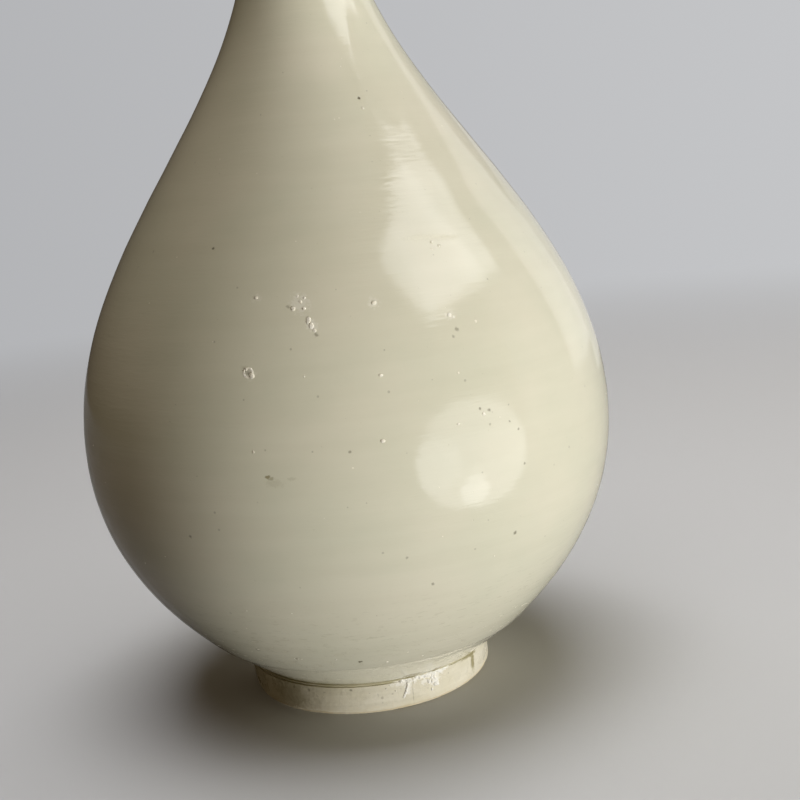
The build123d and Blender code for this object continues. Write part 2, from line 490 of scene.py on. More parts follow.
def make_cavity_coat():
    """The coat on the floor and the wall of the cavity, up to the lip."""
    face, back = cavity_points(INNER_COAT), cavity_points(0)
    strokes = [thrown(stroke(p, rows), finger_rings) for p, rows in zip(face, CAVITY_ROWS)]
    strokes += [stroke(p, rows) for p, rows in zip(back, CAVITY_BACK_ROWS)]
    strokes.append(line(back[4][3], face[4][3]))
    strokes.append(line(back[0][0], face[0][0]))
    return turned(strokes, "ivory_cavity_coat", 192)


cavity_coat = finish(make_cavity_coat())

# %% [markdown]
# The foot ring was thrown apart and luted on, a millimetre off the body's axis, so the
# groove beside it is wider on one side. Its own outline is turned and then moved over. The
# bare edge that stands on the table is worn round, and clouds make its wall uneven, as a
# ring trimmed by hand is. On the left the wall leans out, which a weight per point tells
# the modifier that pushes it.

# %% Foot ring
RING_RADIUS = 38.2 * MM
RING_WIDTH = 6.3 * MM
RING_BEVEL = 0.4 * MM
RING_TOP = 9.7 * MM
RING_SHOULDER = 8.8 * MM
RECESS_DEPTH = 6.5 * MM
RECESS_RADIUS = RING_RADIUS - RING_WIDTH
CEILING_RADIUS = RECESS_RADIUS - 1.4 * MM
RING_SHIFT = Vector((-1.0 * MM, 0, 0))


def recess_radius(height):
    """Radius of the recess's leaning wall at a height."""
    return RECESS_RADIUS + (CEILING_RADIUS - RECESS_RADIUS) * height / RECESS_DEPTH


def chain(corners, rows):
    """Straight strokes from corner to corner."""
    return [line(a, b, n) for a, b, n in zip(corners, corners[1:], rows)]


def moved_over(piece):
    """Moves a spun piece from the body's axis to the ring's own."""
    only(piece)
    bpy.ops.object.mode_set(mode="EDIT")
    bpy.ops.mesh.select_all(action="SELECT")
    bpy.ops.transform.translate(value=RING_SHIFT)
    bpy.ops.object.mode_set(mode="OBJECT")


def make_foot_ring():
    """The bare clay ring, with its two worn edges."""
    outer, inner = RING_RADIUS - RING_BEVEL, RECESS_RADIUS + RING_BEVEL
    wall = spot(RING_RADIUS, RING_BEVEL)
    low_wall = spot(recess_radius(RING_BEVEL), RING_BEVEL)
    strokes = [quarter(spot(outer, RING_BEVEL), spot(outer, 0), wall, 4)]
    strokes.append(quarter(spot(inner, RING_BEVEL), low_wall, spot(inner, 0), 4))
    strokes.append(line(spot(inner, 0), spot(outer, 0), 10))
    corners = [wall, spot(RING_RADIUS, RING_SHOULDER), spot(RING_RADIUS - 0.9 * MM, RING_TOP)]
    corners += [spot(CEILING_RADIUS, RING_TOP), spot(CEILING_RADIUS, RECESS_DEPTH), low_wall]
    strokes += chain(corners, (10, 2, 4, 3, 8))
    return turned(strokes, "biscuit_foot_ring", 220)


LEAN = 0.9 * MM
LEANING = [(1.5, 0.0), (7.0, 1.0), (9.1, 1.0), (10.2, 0.0)]


def lean_weight(point):
    """How far the left of the ring's wall leans out at a point, from 0 to 1."""
    across = Vector((point.x - RING_SHIFT.x, point.y))
    if across.length < RING_RADIUS - 1.1 * MM or across.x > 0:
        return 0
    facing = -across.x / across.length
    return facing**4 * between(LEANING, point.z / MM)


foot_ring = make_foot_ring()
moved_over(foot_ring)
uneven(foot_ring, 0.009, 0.16 * MM, group=weighted(foot_ring, "wall", lambda p: p.z / (0.5 * MM)))
pushed(foot_ring, "lean", lean_weight, -LEAN, "X")
finish(foot_ring, 50)

# %% [markdown]
# A thin coat covers the ring's wall. It was wiped off at the table, and the wiping left a
# wavering edge. The edge is made straight at first, with a rounded rim, and then moved up
# and down by a cloud texture that only acts along Z and only near the edge.

# %% Thin coat on the foot
FOOT_COAT = 0.4 * MM
WIPED_HEIGHT = 0.9 * MM
COATED_RADIUS = RING_RADIUS + FOOT_COAT


def make_foot_coat():
    """The thin coat on the ring's wall, from the wiped edge to the shoulder."""
    rim = spot(RING_RADIUS, WIPED_HEIGHT + FOOT_COAT)
    strokes = [quarter(rim, spot(RING_RADIUS, WIPED_HEIGHT), rim + spot(FOOT_COAT, 0), 4)]
    corners = [rim + spot(FOOT_COAT, 0), spot(COATED_RADIUS, RING_SHOULDER)]
    corners += [spot(RING_RADIUS, RING_SHOULDER), spot(RING_RADIUS, WIPED_HEIGHT)]
    strokes += chain(corners, (14, 1, 3))
    return turned(strokes, "thin_foot_coat", 280)


foot_coat = make_foot_coat()
moved_over(foot_coat)
near_edge = weighted(foot_coat, "wiped edge", lambda p: (2.4 * MM - p.z) / (1.0 * MM))
uneven(foot_coat, 0.007, 0.9 * MM, group=near_edge, level=0.55, direction="Z")
on_wall = weighted(foot_coat, "wall", lambda p: (RING_SHOULDER - p.z) / (1.5 * MM))
uneven(foot_coat, 0.011, 0.24 * MM, group=on_wall, level=0.5)
pushed(foot_coat, "lean", lean_weight, -LEAN, "X")
finish(foot_coat, 50)

# %% [markdown]
# Glaze ran down the body and pooled over the ring, where it is thick, olive and glassy. Two
# fine grooves run round it with a ridge between them. It joins a circle about the body's
# axis to one about the ring's, so after spinning, its rows are shared out between the two
# axes by their height.

# %% Pooled glaze
BODY_EDGE = FOOT_EDGE + OUTER_COAT / sin(FOOT_SLOPE) + finger_wave(FOOT_HEIGHT)


def pool_spots(*places):
    """Outline points from pairs in millimetres."""
    return [spot(radius * MM, height * MM) for radius, height in places]


def make_pool():
    """The glaze in the groove between the body and the ring."""
    top = spot(BODY_EDGE, FOOT_HEIGHT)
    low = spot(COATED_RADIUS, RING_SHOULDER)
    upper_groove, ridge, lower_groove = pool_spots((38.98, 10.02), (39.16, 9.62), (38.36, 9.08))
    bend = pool_spots((39.44, 10.2), (39.02, 10.2), (38.96, 9.88), (39.24, 9.8),
                      (39.08, 9.4), (38.5, 9.32), (38.28, 8.94), (38.5, 8.86))
    strokes = [
        stroke([top, bend[0], bend[1], upper_groove], 5),
        stroke([upper_groove, bend[2], bend[3], ridge], 5),
        stroke([ridge, bend[4], bend[5], lower_groove], 5),
        stroke([lower_groove, bend[6], bend[7], low], 4),
    ]
    corners = [low, spot(RING_RADIUS, RING_SHOULDER), spot(RING_RADIUS - 0.9 * MM, RING_TOP)]
    corners += [spot(RING_RADIUS - 0.9 * MM, FOOT_HEIGHT), top]
    strokes += chain(corners, (1, 2, 1, 2))
    pool = turned(strokes, "pooled_olive_glaze", 280)
    for point in pool.data.vertices:
        share = (FOOT_HEIGHT - point.co.z) / (FOOT_HEIGHT - RING_SHOULDER)
        point.co += RING_SHIFT * share
    return pool


pool = make_pool()
pushed(pool, "lean", lean_weight, -LEAN, "X")
finish(pool)

# %% [markdown]
# The recess under the vase has a thin coat too. The turning tool left rings on its ceiling
# and a small raised button in the middle, which the outline shows before it is spun.

# %% Recess coat
RECESS_COAT = 0.4 * MM


def turning_rings(chain_piece):
    """Lowers and raises the ceiling's points into rings round a small button."""
    for point in chain_piece.data.vertices:
        r = point.co.x / MM
        button = 0.35 * cos(min(pi / 2, r / 5.0 * pi / 2)) ** 2
        ring = 0.045 * (1 + sin(tau * r / 2.9)) * min(1, r / 6)
        point.co.z -= (button + ring) * MM
    return chain_piece


def make_recess_coat():
    """The coat on the recess's ceiling and wall, down to its wiped edge."""
    wiped = recess_radius(WIPED_HEIGHT)
    ceiling = RECESS_DEPTH - RECESS_COAT
    axis, rim = spot(0, ceiling), spot(recess_radius(ceiling) - RECESS_COAT - 1.0 * MM, ceiling)
    wall = spot(recess_radius(ceiling) - RECESS_COAT + 0.15 * MM, ceiling - 1.0 * MM)
    edge = spot(wiped - RECESS_COAT, WIPED_HEIGHT)
    strokes = [turning_rings(line(axis, rim, 60))]
    strokes.append(quarter(spot(rim.x, wall.z), strokes[0].data.vertices[-1].co, wall, 5))
    corners = [wall, edge, spot(wiped, WIPED_HEIGHT), spot(CEILING_RADIUS, RECESS_DEPTH)]
    corners += [spot(0, RECESS_DEPTH), strokes[0].data.vertices[0].co.copy()]
    strokes += chain(corners, (5, 1, 3, 6, 1))
    return turned(strokes, "recess_coat", 200)


recess_coat = make_recess_coat()
moved_over(recess_coat)
finish(recess_coat, 50)

# %% [markdown]
# On the right of the front the glaze boiled up into a white crust along the ring's top
# edge, with one drop below it and a streak that ran down. It has no outline of its own, so
# it is made like porridge: many small balls are laid along the edge, a voxel remesh melts
# them into one skin, and a cloud texture roughens it.

# %% Glaze crust
CRUST_VOXEL = 0.14 * MM


def on_ring(angle, height, proud=0.0):
    """A place on the ring's coated wall, at an angle from the front and a height."""
    return around(angle, COATED_RADIUS + proud, height) + RING_SHIFT


def make_crust():
    """The crumbs along the edge, in the drop, in the streak and scattered below."""
    bpy.ops.object.select_all(action="DESELECT")
    bpy.ops.mesh.primitive_ico_sphere_add(subdivisions=2, radius=MM)
    ball = bpy.context.object
    chance = random.Random(7)
    crumbs = []

    def crumb(angle, height, proud, radius, tall):
        """Lays one crumb on the ring's wall."""
        place = on_ring(angle, height * MM, proud * MM)
        crumbs.append(copy_of(ball, place, (0, 0, 0), (radius, radius, radius * tall)))

    for step in range(120):
        angle = 11.0 + 24.0 * step / 119
        rise = 0.3 * sin(tau * step / 37) + chance.uniform(-0.45, 0.45)
        size = chance.uniform(0.34, 0.66) * (0.65 + 0.35 * sin(pi * step / 119))
        crumb(angle, 9.0 + rise, -0.02, size, chance.uniform(0.7, 1.1))
    for step in range(34):
        angle, height = chance.gauss(27.8, 1.5), chance.gauss(6.6, 1.1)
        crumb(angle, height, -0.12, chance.uniform(0.35, 0.7), 1.1)
    for step in range(22):
        share = step / 21
        angle = 15.2 - 2.9 * share + chance.uniform(-0.35, 0.35)
        crumb(angle, 8.4 - 4.8 * share, -0.06, chance.uniform(0.34, 0.5) * (1 - 0.3 * share), 1.6)
    for step in range(46):
        angle, height = chance.gauss(21, 7), 8.4 - abs(chance.gauss(0, 1.3))
        crumb(angle, height, -0.05, chance.uniform(0.14, 0.26), 1.0)
    return gathered(crumbs, ball, "white_glaze_crust")


def remeshed(piece, voxel):
    """Melts a piece's parts into one skin."""
    melt = piece.modifiers.new("melt", "REMESH")
    melt.mode = "VOXEL"
    melt.voxel_size = voxel
    only(piece)
    bpy.ops.object.modifier_apply(modifier=melt.name)


crust = make_crust()
remeshed(crust, CRUST_VOXEL)
uneven(crust, 0.0013, 0.26 * MM, level=0.5)
clean(crust)
finish(crust, 75)

# %% [markdown]
# Old glaze has blemishes that stand out of it: a burst bubble with a raised rim, a long
# healed blister, and grains of sand that the glaze crept over. They are too small for the
# coat's mesh, so each is a small form of its own, a ring or a flattened ball, set on the
# coat by casting a ray at it and turned to lie along the surface.

# %% Blemishes
RIMS = [(-18.1, 112.9, 1.1, 1.1), (-22.1, 27.3, 0.8, 0.5), (128, 96, 1.1, 1.0), (-140, 130, 0.9, 1.3),
        (-95, 64, 1.2, 1.0), (176, 88, 0.8, 1.6)]
GRAINS = [  # angle, height, radius, stretch up the wall
    (-17.4, 112.1, 0.8, 0.9), (-19.0, 113.5, 0.32, 1.0), (-5.9, 124.4, 0.60, 1.7), (-5.3, 123.0, 0.66, 1.5), (-4.8, 121.9, 0.52, 1.3),
    (-8.9, 127.6, 0.62, 1.0), (-7.9, 130.6, 0.40, 1.0), (-6.4, 129.9, 0.36, 1.0), (-7.3, 129.0, 0.5, 1.2),
    (-6.6, 127.4, 0.45, 1.0), (19.1, 177.2, 0.42, 1.0), (-16.8, 131.0, 0.6, 0.8), (7.6, 126.9, 0.7, 0.9),
    (28.2, 118.8, 0.45, 1.0), (22.7, 121.4, 0.62, 0.9), (23.4, 120.8, 0.42, 1.0), (6.7, 109.3, 0.6, 0.8),
    (21.6, 106.9, 0.36, 1.0), (-17.8, 93.3, 0.36, 1.0), (5.5, 93.1, 0.62, 0.8), (25.2, 95.6, 0.45, 1.3),
    (-32.0, 30.4, 0.5, 0.8), (-20.8, 27.0, 0.5, 0.7), (24.2, 140.0, 0.42, 1.0), (25.8, 138.9, 0.5, 0.8),
    (23.6, 138.2, 0.36, 1.0), (-0.3, 87.3, 0.3, 1.0), (19.8, 94.3, 0.5, 0.7), (9.0, 26.3, 0.4, 0.6),
    (-11, 26.6, 0.4, 0.6), (3.2, 23.2, 0.36, 0.6), (-30, 40, 0.3, 1.0), (14, 23.0, 0.4, 0.5),
]
SCATTERED_GRAINS = 90


def on_coat(angle, height):
    """The place and the outward normal of the coat's face, at an angle and a height."""
    far = around(angle, 2 * BELLY_RADIUS, height * MM)
    inwards = Vector((-far.x, -far.y, 0)).normalized()
    hit, place, normal, face = outer_coat.ray_cast(far, inwards)
    return place, normal


def lying(normal, spin=0.0):
    """The rotation that turns +Z to a normal, with +Y pointing up the wall."""
    return (normal.to_track_quat("Z", "Y").to_matrix() @ Matrix.Rotation(spin, 3, "Z")).to_euler()


def make_rims():
    """The raised rims of burst bubbles, some of them longer up the wall."""
    bpy.ops.object.select_all(action="DESELECT")
    bpy.ops.mesh.primitive_torus_add(
        major_radius=MM, minor_radius=0.3 * MM, major_segments=28, minor_segments=10,
    )
    ring, rims = bpy.context.object, []
    for angle, height, radius, stretch in RIMS:
        place, normal = on_coat(angle, height)
        turn = lying(normal, 0.25 * sin(angle))
        rims.append(copy_of(ring, place, turn, (radius, radius * stretch, 0.26)))
    rims = gathered(rims, ring, "rims")
    uneven(rims, 0.0009, 0.34 * MM, level=0.5)
    return rims


def make_grains():
    """The grains under the glaze, at their places and scattered round the pot."""
    bpy.ops.object.select_all(action="DESELECT")
    bpy.ops.mesh.primitive_ico_sphere_add(subdivisions=2, radius=MM)
    ball, grains = bpy.context.object, []
    chance = random.Random(31)
    scattered = [
        (chance.uniform(-180, 180), chance.uniform(22, 200), chance.uniform(0.1, 0.22), 1.0)
        for _ in range(SCATTERED_GRAINS)
    ]
    for angle, height, radius, stretch in GRAINS + scattered:
        place, normal = on_coat(angle, height)
        turn = lying(normal, 0.2 * sin(height))
        grains.append(copy_of(ball, place, turn, (radius, radius * stretch, 0.24 * radius)))
    return gathered(grains, ball, "grains")


bpy.context.view_layer.update()
blemishes = join([make_grains(), make_rims()], "glaze_blemishes")
uneven(blemishes, 0.0016, 0.3 * MM, level=0.5)
clean(blemishes, 1e-6)
finish(blemishes, 80)

# %% [markdown]
# The glazes are node materials, built from a few small effects. A node group holds each
# effect that more than one glaze uses, so that it is made once and gets its own values in
# each material. These helpers add a node, fill or link its inputs, and lay it on a grid.

# %% Node helpers
def add(tree, kind, inputs=None, **settings):
    """Adds a node to a tree, with its settings, and links or fills its inputs."""
    count = len(tree.nodes)
    made = tree.nodes.new(kind)
    made.location = (200 * (count // 5), -220 * (count % 5))
    for name, value in settings.items():
        setattr(made, name, value)
    for socket, value in (inputs or {}).items():
        if isinstance(value, bpy.types.NodeSocket):
            tree.links.new(value, made.inputs[socket])
        else:
            made.inputs[socket].default_value = value
    return made


def calc(tree, operation, a, b=0.0):
    """A Math node's result."""
    return add(tree, "ShaderNodeMath", {0: a, 1: b}, operation=operation).outputs[0]


def steps(tree, value, low, high, first=0.0, last=1.0):
    """A smooth step from first to last while the value goes from low to high."""
    sockets = {"Value": value, "From Min": low, "From Max": high, "To Min": first, "To Max": last}
    return add(tree, "ShaderNodeMapRange", sockets, interpolation_type="SMOOTHSTEP").outputs[0]


def blend(tree, share, a, b):
    """Colour a, with colour b laid over it by a share."""
    return add(tree, "ShaderNodeMix", {0: share, 6: a, 7: b}, data_type="RGBA").outputs[2]


def total(tree, *values):
    """The sum of several values."""
    result = values[0]
    for value in values[1:]:
        result = calc(tree, "ADD", result, value)
    return result


def most(tree, *values):
    """The largest of several masks."""
    result = values[0]
    for value in values[1:]:
        result = calc(tree, "MAXIMUM", result, value)
    return result


def place_of(tree):
    """Object coordinates, in metres in the vase's own frame."""
    return add(tree, "ShaderNodeTexCoord").outputs["Object"]


def colour(red, green, blue):
    """A colour as a painter would pick it from 0 to 255, made linear for the shader."""
    shares = [v / 255 for v in (red, green, blue)]
    return tuple(v / 12.92 if v <= 0.04045 else ((v + 0.055) / 1.055) ** 2.4 for v in shares) + (1,)


# %% [markdown]
# Three effects make all the glazes. "Glaze clouds" is noise of a real size that can be
# flattened into streaks, as the wheel leaves them. "Glaze specks" scatters small round
# spots through space, so the surface cuts them at every size, as it cuts iron specks in
# real clay. "Glaze mark" is one spot at a stated place, for what sits just there.

# %% Effect groups
FLOAT, VECTOR = "NodeSocketFloat", "NodeSocketVector"


def new_group(name, takes, gives):
    """An empty node group with named inputs and outputs."""
    tree = bpy.data.node_groups.new(name, "ShaderNodeTree")
    for label, kind in takes:
        tree.interface.new_socket(name=label, in_out="INPUT", socket_type=kind)
    for label in gives:
        tree.interface.new_socket(name=label, in_out="OUTPUT", socket_type=FLOAT)
    return tree, tree.nodes.new("NodeGroupInput").outputs


def scaled_place(tree, across, up):
    """Object coordinates multiplied by one number across and another up."""
    scale = add(tree, "ShaderNodeCombineXYZ", {0: across, 1: across, 2: up}).outputs[0]
    sockets = {0: place_of(tree), 1: scale}
    return add(tree, "ShaderNodeVectorMath", sockets, operation="MULTIPLY").outputs[0]


def make_clouds_group():
    """Noise of a size in metres, flattened along Z by a factor."""
    tree, takes = new_group("glaze clouds", [("Size", FLOAT), ("Flatness", FLOAT)], ["Tone"])
    across = calc(tree, "DIVIDE", 1.0, takes["Size"])
    where = scaled_place(tree, across, calc(tree, "MULTIPLY", across, takes["Flatness"]))
    sockets = {"Vector": where, "Scale": 1.0, "Detail": 3.0, "Roughness": 0.55}
    noise = add(tree, "ShaderNodeTexNoise", sockets).outputs[0]
    add(tree, "NodeGroupOutput", {"Tone": steps(tree, noise, 0.28, 0.72)})
    return tree


def make_specks_group():
    """Round spots of a radius in metres, one to a cell, in a share of the cells."""
    takes = [("Cell", FLOAT), ("Radius", FLOAT), ("Share", FLOAT)]
    tree, takes = new_group("glaze specks", takes, ["Speck"])
    across = calc(tree, "DIVIDE", 1.0, takes["Cell"])
    cells = add(tree, "ShaderNodeTexVoronoi", {"Vector": scaled_place(tree, across, across), "Scale": 1.0})
    chance = add(tree, "ShaderNodeSeparateColor", {0: cells.outputs["Color"]}).outputs
    size = calc(tree, "MULTIPLY", takes["Radius"], calc(tree, "ADD", 0.55, chance[1]))
    away = calc(tree, "DIVIDE", calc(tree, "MULTIPLY", cells.outputs["Distance"], takes["Cell"]), size)
    chosen = calc(tree, "LESS_THAN", chance[0], takes["Share"])
    spot_mask = steps(tree, away, 0.55, 1.0, 1.0, 0.0)
    add(tree, "NodeGroupOutput", {"Speck": calc(tree, "MULTIPLY", spot_mask, chosen)})
    return tree


def make_mark_group():
    """One spot: 1 at its centre, 0 past its reach, with a ragged edge."""
    takes = [("Centre", VECTOR), ("Reach", VECTOR), ("Ragged", FLOAT)]
    tree, takes = new_group("glaze mark", takes, ["Mark"])
    sockets = {0: place_of(tree), 1: takes["Centre"]}
    offset = add(tree, "ShaderNodeVectorMath", sockets, operation="SUBTRACT").outputs[0]
    share = add(tree, "ShaderNodeVectorMath", {0: offset, 1: takes["Reach"]}, operation="DIVIDE")
    length = add(tree, "ShaderNodeVectorMath", {0: share.outputs[0]}, operation="LENGTH")
    away = calc(tree, "ADD", length.outputs["Value"], takes["Ragged"])
    add(tree, "NodeGroupOutput", {"Mark": steps(tree, away, 0.35, 1.0, 1.0, 0.0)})
    return tree


EFFECTS = {"clouds": make_clouds_group(), "specks": make_specks_group(), "mark": make_mark_group()}


def effect(tree, name, **values):
    """An effect group placed in a tree with its own values."""
    return add(tree, "ShaderNodeGroup", values, node_tree=EFFECTS[name]).outputs[0]


def clouds(tree, size, flatness=1.0):
    """Glaze clouds of a size in millimetres."""
    return effect(tree, "clouds", Size=size * MM, Flatness=flatness)


def specks(tree, cell, radius, share=1.0):
    """Glaze specks with cell and radius in millimetres."""
    return effect(tree, "specks", Cell=cell * MM, Radius=radius * MM, Share=share)


def marks(tree, places, ragged):
    """The strongest of several marks, each a centre, a reach in millimetres and a strength."""
    masks = []
    for centre, reach, strength in places:
        mask = effect(tree, "mark", Centre=centre, Reach=Vector(reach) * MM, Ragged=ragged)
        masks.append(calc(tree, "MULTIPLY", mask, strength))
    return most(tree, *masks)


def new_glaze(name, **fixed):
    """A material with one Principled shader, whose fixed values stand on its sockets."""
    material = bpy.data.materials.new(name)
    material.use_nodes = True
    tree = material.node_tree
    tree.nodes.clear()
    shader = add(tree, "ShaderNodeBsdfPrincipled", fixed)
    add(tree, "ShaderNodeOutputMaterial", {"Surface": shader.outputs[0]})
    return material, tree, shader.inputs


def raised(tree, height_mm):
    """The normal of a surface that a height in millimetres stands out of."""
    return add(tree, "ShaderNodeBump", {"Height": height_mm, "Distance": MM}).outputs[0]


print("effect groups:", ", ".join(group.name for group in EFFECTS.values()))

# %% [markdown]
# The ivory glaze is glossy and slightly green in its thick parts, warmer where it is thin.
# Its colour drifts over a few centimetres, the wheel's streaks show faintly, and iron has
# come through in specks. Some specks and a scratch sit at places that anyone who knows the
# pot would look for, so they are marks. The bump holds what is too fine for the mesh: the
# closest throwing lines, the skin of the glaze and pinholes.

# %% Ivory glaze
IVORY = colour(219, 215, 192)
IVORY_THICK = colour(213, 211, 188)
IVORY_WARM = colour(221, 216, 194)
IVORY_PALE = colour(235, 231, 216)
IRON = colour(92, 84, 58)
FAINT_IRON_AND_SHADE = colour(158, 150, 116)
GRIME = colour(150, 140, 108)
BUFF_LIP = colour(196, 172, 128)
OLIVE_SCRATCH = colour(132, 122, 78)

IRON_MARKS = [(19.0, 180.1, 0.55, 1.0), (-29.3, 144.2, 0.5, 0.8), (-4.5, 120.7, 0.8, 0.5),
              (23.4, 117.7, 0.8, 0.45), (-18.1, 112.9, 0.75, 0.35), (24.6, 97.0, 0.5, 0.6),
              (26.4, 96.2, 0.6, 0.6), (-0.5, 91.4, 0.5, 0.5), (31.2, 60.7, 0.7, 0.7),
              (7.9, 60.9, 0.6, 0.4), (13.2, 51.2, 0.6, 0.5), (33.1, 80.0, 0.45, 0.5),
              (-33.8, 70.1, 0.6, 0.5), (-32.3, 30.2, 0.9, 0.4), (-22.1, 27.1, 0.8, 0.5),
              (-4.6, 24.7, 0.8, 0.9), (30.6, 92.1, 0.45, 0.5), (32.4, 89.5, 0.45, 0.5),
              (-9.9, 128.2, 0.7, 0.35), (-18.8, 113.5, 0.55, 0.6), (22.3, 116.0, 0.6, 0.4)]
PALE_MARKS = [(-7.4, 128.6, 3.2, 0.5), (-5.4, 123.2, 1.9, 0.6), (-16.8, 131.0, 1.6, 0.4),
              (-17.7, 112.5, 1.8, 0.4), (7.6, 126.9, 1.8, 0.45), (22.9, 121.1, 1.6, 0.4)]
SEAM = [(21.5, 141.6), (25.5, 141.2), (29.0, 140.7)]
BLOTCHES = [(13.2, 11.3, 2.6, 1.1), (16.8, 11.2, 2.6, 0.9), (26.4, 10.9, 2.4, 0.8)]
SCRATCHES = [(-15.6, 86.7, 1.0, 0.6, 0.8), (-14.9, 86.2, 1.2, 0.7, 0.45), (-11.2, 85.9, 1.6, 0.6, 0.16),
             (-14.4, 84.9, 3.2, 1.4, 0.14)]


def coat_marks(tree, ragged):
    """The iron marks of the coat, as one mask."""
    places = [(on_coat(a, h)[0], (r, r, r), s) for a, h, r, s in IRON_MARKS]
    return marks(tree, places, ragged)


def scratch_marks(tree, ragged):
    """The scratches in the coat, as one mask."""
    places = [(on_coat(a, h)[0], (w, w, r), s) for a, h, w, r, s in SCRATCHES]
    return marks(tree, places, ragged)


def height_of(tree):
    """The height above the table, in metres."""
    return add(tree, "ShaderNodeSeparateXYZ", {0: place_of(tree)}).outputs[2]


def left_front(tree):
    """1 on the left of the foot's front, fading to 0 on its right."""
    where = add(tree, "ShaderNodeSeparateXYZ", {0: place_of(tree)}).outputs
    leaning = calc(tree, "ADD", where[0], calc(tree, "MULTIPLY", where[1], 0.35))
    return steps(tree, leaning, -42 * MM, -4 * MM, 1.0, 0.0)


def seeping(tree, height):
    """Fine olive lines on the left of the bowl, just over the groove."""
    near = calc(tree, "MULTIPLY", steps(tree, height, 10.6 * MM, 14.6 * MM, 1.0, 0.0), left_front(tree))
    wavering = calc(tree, "MULTIPLY", clouds(tree, 18), 0.35 * MM)
    turns = calc(tree, "MULTIPLY", calc(tree, "ADD", height, wavering), tau / (0.95 * MM))
    lines = steps(tree, calc(tree, "SINE", turns), -0.4, 0.9, 0.25, 1.0)
    return calc(tree, "MULTIPLY", calc(tree, "MULTIPLY", near, lines), 0.85)


def make_ivory(name, with_marks):
    """The ivory glaze, with the marks of the outside or without them."""
    glaze, tree, shader = new_glaze(name, IOR=1.5)
    ragged = calc(tree, "MULTIPLY", calc(tree, "SUBTRACT", clouds(tree, 0.7), 0.5), 0.55)
    height = height_of(tree)
    low = steps(tree, height, 22 * MM, 58 * MM, 1.0, 0.0)
    tone = blend(tree, clouds(tree, 42, 1.4), IVORY_THICK, IVORY_WARM)
    tone = blend(tree, calc(tree, "MULTIPLY", clouds(tree, 9), 0.35), tone, IVORY)
    streaks = calc(tree, "MULTIPLY", clouds(tree, 60, 13), total(tree, 0.05, calc(tree, "MULTIPLY", low, 0.09)))
    tone = blend(tree, streaks, tone, FAINT_IRON_AND_SHADE)
    iron = specks(tree, 5.6, 0.30)
    dust = specks(tree, 2.6, 0.13, 0.8)
    tone = blend(tree, calc(tree, "MULTIPLY", dust, 0.28), tone, FAINT_IRON_AND_SHADE)
    tone = blend(tree, calc(tree, "MULTIPLY", iron, 0.34), tone, IRON)
    dashes = calc(tree, "MULTIPLY", steps(tree, clouds(tree, 3.4, 4.5), 0.80, 0.98), low)
    tone = blend(tree, calc(tree, "MULTIPLY", dashes, 0.28), tone, GRIME)
    lip = steps(tree, height, 293.4 * MM, 295.6 * MM)
    tone = blend(tree, calc(tree, "MULTIPLY", lip, 0.55), tone, BUFF_LIP)
    pits = most(tree, iron, dust, dashes)
    dull = calc(tree, "MULTIPLY", pits, 0.3)
    if with_marks:
        placed, scratched = coat_marks(tree, ragged), scratch_marks(tree, ragged)
        pale = [(on_coat(a, h)[0], (r, r, r), s) for a, h, r, s in PALE_MARKS]
        tone = blend(tree, marks(tree, pale, calc(tree, "MULTIPLY", ragged, 1.6)), tone, IVORY_PALE)
        blotches = [(on_coat(a, h)[0], (w, w, r), 0.8) for a, h, w, r in BLOTCHES]
        tone = blend(tree, marks(tree, blotches, ragged), tone, OLIVE_SCRATCH)
        tone = blend(tree, seeping(tree, height), tone, OLIVE_SCRATCH)
        tone = blend(tree, scratched, tone, OLIVE_SCRATCH)
        tone = blend(tree, placed, tone, IRON)
        # Painted shade: the seam's dent is darkened a little where the reflection breaks along it.
        seam = marks(tree, [(on_coat(a, h)[0], (5.5, 5.5, 1.0), 1.0) for a, h in SEAM], ragged)
        tone = blend(tree, calc(tree, "MULTIPLY", seam, 0.1), tone, FAINT_IRON_AND_SHADE)
        pits = most(tree, pits, placed, scratched)
        dull = most(tree, calc(tree, "MULTIPLY", pits, 0.3), calc(tree, "MULTIPLY", seam, 0.25))
    lines = total(tree, calc(tree, "MULTIPLY", clouds(tree, 26, 9.5), 0.013),
                  calc(tree, "MULTIPLY", clouds(tree, 9, 12), 0.012),
                  calc(tree, "MULTIPLY", clouds(tree, 4, 6), 0.006))
    skin = calc(tree, "MULTIPLY", clouds(tree, 2.3), 0.0042)
    holes = calc(tree, "MULTIPLY", pits, -0.03)
    tree.links.new(tone, shader["Base Color"])
    rough = total(tree, 0.035, calc(tree, "MULTIPLY", clouds(tree, 14), 0.04), dull)
    tree.links.new(rough, shader["Roughness"])
    tree.links.new(raised(tree, total(tree, lines, skin, holes)), shader["Normal"])
    return glaze


ivory = make_ivory("ivory glaze", True)
cavity_ivory = make_ivory("ivory glaze inside", False)

# %% [markdown]
# Where grains and burst bubbles break the surface the glaze is thin, pale and less glossy.

# %% Blemish glaze
def make_blemish_glaze():
    """Pale, slightly rough glaze on the grains and rims."""
    glaze, tree, shader = new_glaze("blistered glaze", IOR=1.5)
    tone = blend(tree, clouds(tree, 1.2), colour(246, 242, 228), colour(230, 223, 200))
    tree.links.new(tone, shader["Base Color"])
    tree.links.new(steps(tree, clouds(tree, 0.8), 0, 1, 0.16, 0.4), shader["Roughness"])
    tree.links.new(raised(tree, calc(tree, "MULTIPLY", clouds(tree, 0.6), 0.03)), shader["Normal"])
    return glaze


blister = make_blemish_glaze()

# %% [markdown]
# The thin coat on the ring lets the clay show through. It is cream, ochre where it was
# wiped at the table, and stained olive in clouds on the left of the front. A fine crack
# runs down from the crust, and a run of thick glaze has stopped half way down on the right.

# %% Thin foot glaze
CREAM = colour(221, 214, 189)
CREAM_PALE = colour(229, 223, 202)
OCHRE = colour(206, 182, 128)
OLIVE_STAIN = colour(158, 149, 114)
OLIVE = colour(140, 130, 84)
PAINTED_OLIVE_SHADOW = colour(104, 94, 52)
WHITE_SMEAR = colour(243, 239, 226)

